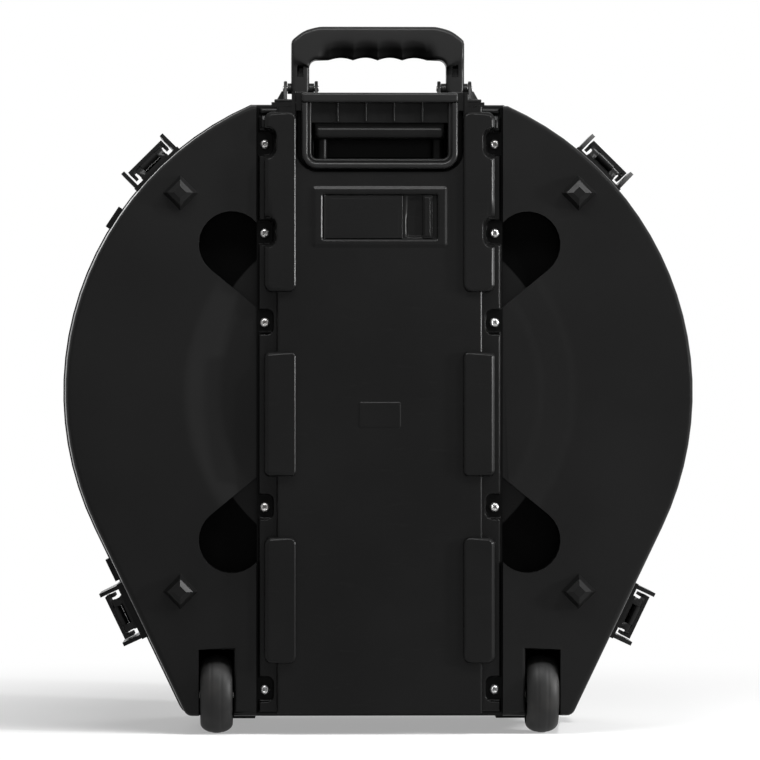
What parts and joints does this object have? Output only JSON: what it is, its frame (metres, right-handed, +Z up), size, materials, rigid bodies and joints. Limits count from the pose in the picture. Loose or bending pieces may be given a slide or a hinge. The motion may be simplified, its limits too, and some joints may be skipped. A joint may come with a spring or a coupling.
{
  "type": "cymbal case",
  "caption": "Moulded hard case for cymbals with a lift-off lid, foam liners, pull-out tow handle, folding carry handle, wheels, trigger latches and a card window.",
  "frame": {"origin": "centre of the bounding box on the ground that the standing case rests on", "axes": "+X to the right seen from the back of the case, +Y to the lid's side, +Z up; the trolley panel, tow handle and wheels are on the -Y side"},
  "size_m": [0.6598, 0.28, 0.7318],
  "materials": {
    "shell_plastic": "moulded, fine grain, black",
    "panel_plastic": "moulded, satin, black",
    "dark_plastic": "moulded, matt, black",
    "handle_plastic": "moulded, satin, black",
    "rubber": "soft, matt, black",
    "tyre": "smooth, black",
    "foam": "open cell foam, charcoal",
    "plush": "short pile, charcoal",
    "steel": "zinc plated",
    "tube_metal": "black, satin"
  },
  "bodies": {
    "case": {"rear_shell": "shell_plastic", "rim_seal": "rubber", "rear_liner": "foam", "divider_1": "plush", "divider_2": "plush", "divider_3": "plush", "trolley_panel": "panel_plastic", "handle_well": "dark_plastic", "tow_guide_left": "dark_plastic", "tow_guide_right": "dark_plastic", "tow_foot": "dark_plastic", "handle_bracket_left": "handle_plastic", "handle_bracket_right": "handle_plastic", "handle_pin_left": "steel", "handle_pin_right": "steel", "wheel_axle_left": "steel", "wheel_axle_right": "steel", "latch_base_upper_left": "dark_plastic", "latch_base_upper_right": "dark_plastic", "latch_base_lower_left": "dark_plastic", "latch_base_lower_right": "dark_plastic", "latch_pin_upper_left": "steel", "latch_pin_upper_right": "steel", "latch_pin_lower_left": "steel", "latch_pin_lower_right": "steel", "panel_screw_left_1": "steel", "panel_screw_left_2": "steel", "panel_screw_left_3": "steel", "panel_screw_left_4": "steel", "panel_screw_left_5": "steel", "panel_screw_right_1": "steel", "panel_screw_right_2": "steel", "panel_screw_right_3": "steel", "panel_screw_right_4": "steel", "panel_screw_right_5": "steel"},
    "lid": {"front_shell": "shell_plastic", "lid_liner": "foam", "latch_keeper_upper_left": "dark_plastic", "latch_keeper_upper_right": "dark_plastic", "latch_keeper_lower_left": "dark_plastic", "latch_keeper_lower_right": "dark_plastic"},
    "carry_handle": {"carry_handle": "handle_plastic"},
    "tow_handle": {"tow_grip": "handle_plastic", "tow_tube_left": "tube_metal", "tow_tube_right": "tube_metal"},
    "wheel_left": {"wheel_tyre_left": "tyre", "wheel_hub_left": "dark_plastic"},
    "wheel_right": {"wheel_tyre_right": "tyre", "wheel_hub_right": "dark_plastic"},
    "card_cover": {"card_cover": "panel_plastic"},
    "card_catch": {"card_catch": "panel_plastic"},
    "latch_upper_left": {"latch_lever_upper_left": "dark_plastic"},
    "trigger_upper_left": {"latch_trigger_upper_left": "handle_plastic"},
    "latch_upper_right": {"latch_lever_upper_right": "dark_plastic"},
    "trigger_upper_right": {"latch_trigger_upper_right": "handle_plastic"},
    "latch_lower_left": {"latch_lever_lower_left": "dark_plastic"},
    "trigger_lower_left": {"latch_trigger_lower_left": "handle_plastic"},
    "latch_lower_right": {"latch_lever_lower_right": "dark_plastic"},
    "trigger_lower_right": {"latch_trigger_lower_right": "handle_plastic"}
  },
  "joints": [
    {"name": "lid_lift_off", "type": "slide", "parent": "case", "child": "lid", "axis": [0, 1, 0], "range_m": [0, 0.4]},
    {"name": "carry_handle_pivot", "type": "hinge", "parent": "case", "child": "carry_handle", "pos_m": [0, -0.018, 0.6675], "axis": [1, 0, 0], "range_deg": [-90, 90]},
    {"name": "tow_handle_slide", "type": "slide", "parent": "case", "child": "tow_handle", "axis": [0, 0, 1], "range_m": [0, 0.42]},
    {"name": "wheel_left_spin", "type": "hinge", "parent": "case", "child": "wheel_left", "pos_m": [-0.167, -0.099, 0.04], "axis": [1, 0, 0], "continuous": true},
    {"name": "wheel_right_spin", "type": "hinge", "parent": "case", "child": "wheel_right", "pos_m": [0.167, -0.099, 0.04], "axis": [1, 0, 0], "continuous": true},
    {"name": "card_cover_hinge", "type": "hinge", "parent": "case", "child": "card_cover", "pos_m": [-0.0567, -0.1328, 0.52895], "axis": [0, 0, -1], "range_deg": [0, 90]},
    {"name": "card_catch_slide", "type": "slide", "parent": "case", "child": "card_catch", "axis": [1, 0, 0], "range_m": [0, 0.0035], "stiffness_N_per_m": 60},
    {"name": "latch_upper_left_hinge", "type": "hinge", "parent": "case", "child": "latch_upper_left", "pos_m": [-0.2387, -0.02, 0.59114], "axis": [0.7107, 0, 0.7035], "range_deg": [0, 70]},
    {"name": "trigger_upper_left_pull", "type": "hinge", "parent": "latch_upper_left", "child": "trigger_upper_left", "pos_m": [-0.2401, 0, 0.59256], "axis": [0.7107, 0, 0.7035], "range_deg": [0, 18], "stiffness_Nm_per_rad": 0.03},
    {"name": "latch_upper_right_hinge", "type": "hinge", "parent": "case", "child": "latch_upper_right", "pos_m": [0.2387, -0.02, 0.59114], "axis": [0.7107, 0, -0.7035], "range_deg": [0, 70]},
    {"name": "trigger_upper_right_pull", "type": "hinge", "parent": "latch_upper_right", "child": "trigger_upper_right", "pos_m": [0.2401, 0, 0.59256], "axis": [0.7107, 0, -0.7035], "range_deg": [0, 18], "stiffness_Nm_per_rad": 0.03},
    {"name": "latch_lower_left_hinge", "type": "hinge", "parent": "case", "child": "latch_lower_left", "pos_m": [-0.26812, -0.02, 0.11624], "axis": [-0.432, 0, 0.9019], "range_deg": [0, 70]},
    {"name": "trigger_lower_left_pull", "type": "hinge", "parent": "latch_lower_left", "child": "trigger_lower_left", "pos_m": [-0.26993, 0, 0.11538], "axis": [-0.432, 0, 0.9019], "range_deg": [0, 18], "stiffness_Nm_per_rad": 0.03},
    {"name": "latch_lower_right_hinge", "type": "hinge", "parent": "case", "child": "latch_lower_right", "pos_m": [0.26812, -0.02, 0.11624], "axis": [-0.432, 0, -0.9019], "range_deg": [0, 70]},
    {"name": "trigger_lower_right_pull", "type": "hinge", "parent": "latch_lower_right", "child": "trigger_lower_right", "pos_m": [0.26993, 0, 0.11538], "axis": [-0.432, 0, -0.9019], "range_deg": [0, 18], "stiffness_Nm_per_rad": 0.03}
  ]
}
